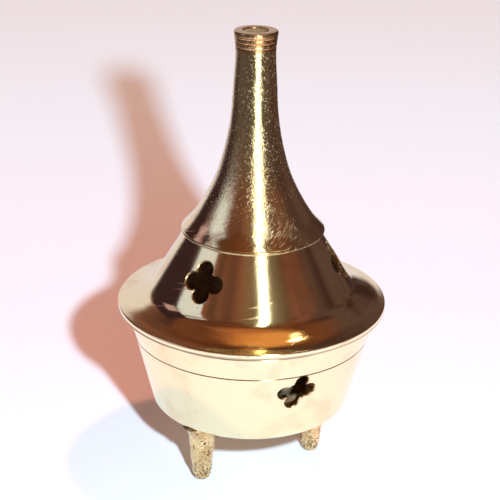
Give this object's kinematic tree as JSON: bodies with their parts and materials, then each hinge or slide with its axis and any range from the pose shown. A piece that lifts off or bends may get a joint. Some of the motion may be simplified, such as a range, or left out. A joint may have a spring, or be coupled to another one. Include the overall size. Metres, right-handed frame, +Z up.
{
  "type": "brass cone incense burner",
  "caption": "Footed turned brass bowl with a lift-off trumpet chimney lid and quatrefoil vents, for burning a cone of incense.",
  "frame": {"origin": "on the floor, under the common axis of the bowl and the lid", "axes": "+Z up along the axis to the chimney's mouth; -Y is the front, with a foot at the front left and a foot at the right"},
  "size_m": [0.0684, 0.0684, 0.1142],
  "materials": {
    "turned_brass": "polished",
    "cast_brass": "rough cast",
    "screw_brass": "satin",
    "plate_brass": "tarnished"
  },
  "bodies": {
    "base": {"bowl": "turned_brass", "foot_front_left": "cast_brass", "foot_right": "cast_brass", "foot_rear": "cast_brass", "foot_screws": "screw_brass"},
    "plate": {"ash_plate": "plate_brass"},
    "lid": {"lid_skirt": "turned_brass", "chimney": "turned_brass"}
  },
  "joints": [
    {"name": "lid_lift", "type": "slide", "parent": "base", "child": "lid", "axis": [0, 0, 1], "range_m": [0, 0.08]},
    {"name": "plate_lift", "type": "slide", "parent": "base", "child": "plate", "axis": [0, 0, 1], "range_m": [0, 0.028]}
  ]
}
